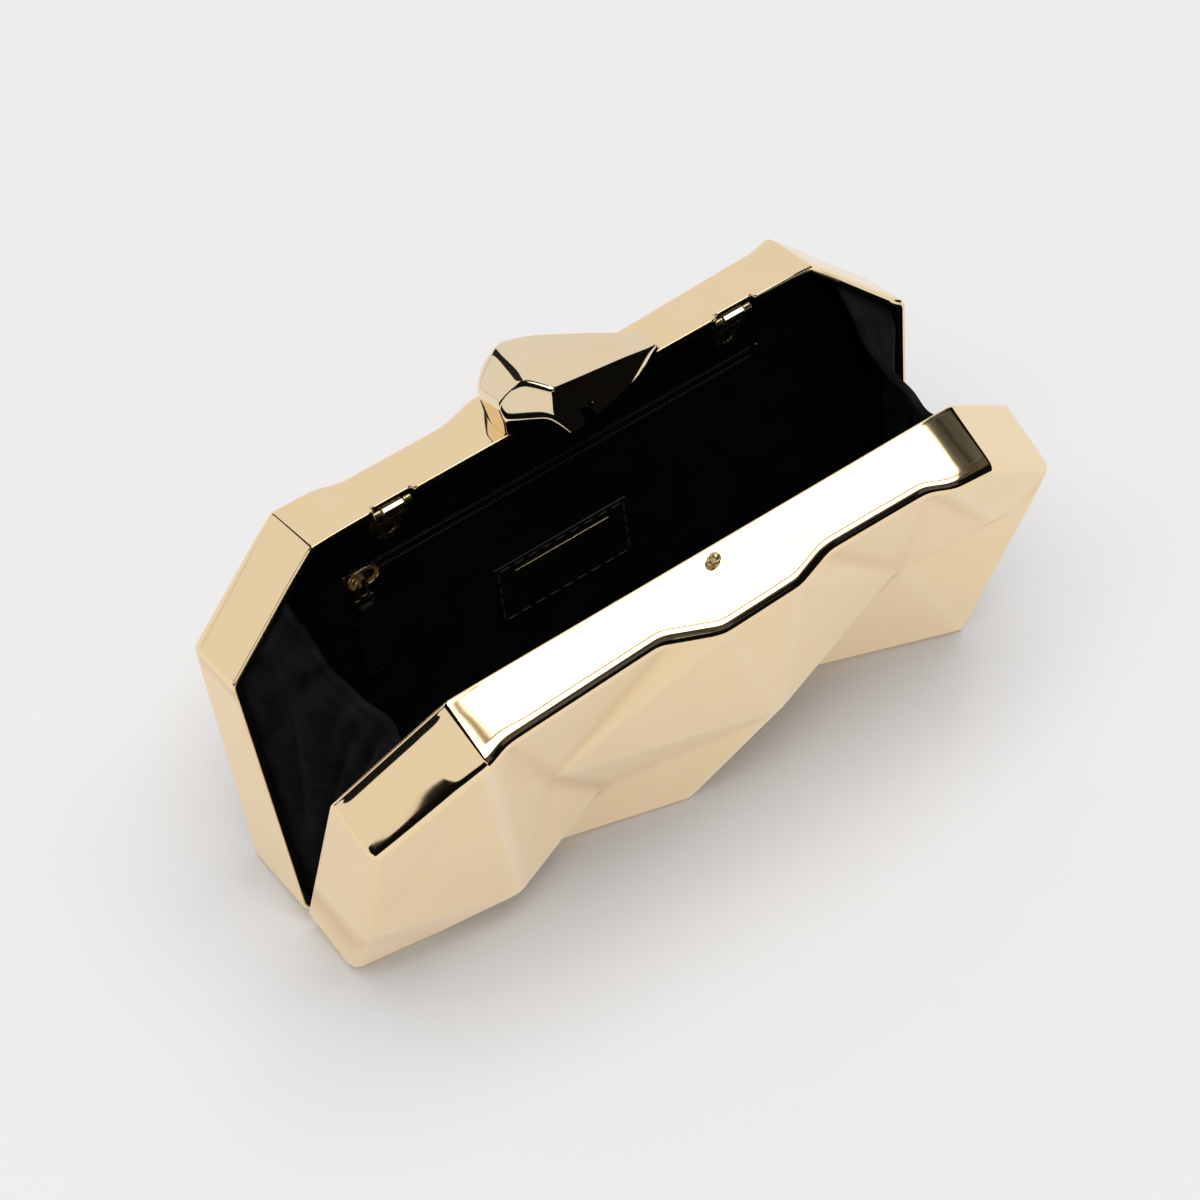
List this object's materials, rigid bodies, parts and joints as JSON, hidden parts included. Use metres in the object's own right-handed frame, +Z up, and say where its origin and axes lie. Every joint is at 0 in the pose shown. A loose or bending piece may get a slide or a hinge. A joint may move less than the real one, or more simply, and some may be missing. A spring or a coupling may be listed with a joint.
{
  "type": "hard-shell clutch bag",
  "caption": "Faceted hard-shell evening clutch standing open, with a gem-shaped clasp knob, fold-out chain loops, gathered end gussets and a zip pocket in a dark velvet lining.",
  "frame": {"origin": "centre of the part's box on the ground, under the hinge line of the open clutch", "axes": "+X along the clutch towards the narrow tip of the knob, +Y from the front shell to the back shell that carries the knob, +Z up"},
  "size_m": [0.235, 0.107, 0.1439],
  "materials": {
    "shell_gold": "pale gold metallic, fine sparkle",
    "knob_gold": "mirror-polished gold plating",
    "hardware_gold": "polished",
    "lining_velvet": "short black velvet",
    "gusset_velvet": "gathered black velvet",
    "zip_tape": "woven black tape",
    "zip_teeth": "wound black strand",
    "pocket_cloth": "thin black cloth",
    "patch_leather": "smooth black",
    "pull_leather": "smooth dark brown"
  },
  "bodies": {
    "back_half": {"back_shell": "shell_gold", "back_lining": "lining_velvet", "left_gusset": "gusset_velvet", "right_gusset": "gusset_velvet", "clasp_knob": "knob_gold", "knob_screws": "hardware_gold", "catch_spring": "hardware_gold", "left_loop_bracket": "hardware_gold", "left_loop_pin": "hardware_gold", "right_loop_bracket": "hardware_gold", "right_loop_pin": "hardware_gold", "loop_rivets": "hardware_gold", "left_hinge_back_leaf": "hardware_gold", "left_hinge_pin": "hardware_gold", "right_hinge_back_leaf": "hardware_gold", "right_hinge_pin": "hardware_gold", "hinge_back_rivets": "hardware_gold", "zipper_tapes": "zip_tape", "zipper_teeth": "zip_teeth", "zipper_stops": "hardware_gold", "pocket_bag": "pocket_cloth", "label_patch": "patch_leather", "label_bar": "hardware_gold"},
    "front_half": {"front_shell": "shell_gold", "front_lining": "lining_velvet", "ball_stud": "hardware_gold", "ball_stud_nut": "hardware_gold", "left_hinge_front_leaf": "hardware_gold", "right_hinge_front_leaf": "hardware_gold", "hinge_front_rivets": "hardware_gold"},
    "left_loop": {"left_loop_tab": "hardware_gold"},
    "right_loop": {"right_loop_tab": "hardware_gold"},
    "slider": {"zipper_slider": "hardware_gold"},
    "link": {"pull_link": "hardware_gold"},
    "pull": {"pull_tab": "pull_leather"}
  },
  "joints": [
    {"name": "main_hinge", "type": "hinge", "parent": "back_half", "child": "front_half", "pos_m": [0, 0, 0.00578], "axis": [1, 0, 0], "range_deg": [-27.9, 0], "deforming": ["left_gusset", "right_gusset"]},
    {"name": "left_loop_hinge", "type": "hinge", "parent": "back_half", "child": "left_loop", "pos_m": [-0.0585, 0.03225, 0.1244], "axis": [-1, 0, 0], "range_deg": [-12, 180]},
    {"name": "right_loop_hinge", "type": "hinge", "parent": "back_half", "child": "right_loop", "pos_m": [0.0585, 0.03225, 0.1244], "axis": [-1, 0, 0], "range_deg": [-12, 180]},
    {"name": "zip_slide", "type": "slide", "parent": "back_half", "child": "slider", "axis": [1, 0, 0], "range_m": [0, 0.132]},
    {"name": "pull_link_hinge", "type": "hinge", "parent": "slider", "child": "link", "pos_m": [-0.0682, 0.03305, 0.09712], "axis": [-1, 0, 0], "range_deg": [0, 90]},
    {"name": "pull_tab_hinge", "type": "hinge", "parent": "link", "child": "pull", "pos_m": [-0.0682, 0.03064, 0.08745], "axis": [-1, 0, 0], "range_deg": [0, 90]}
  ]
}
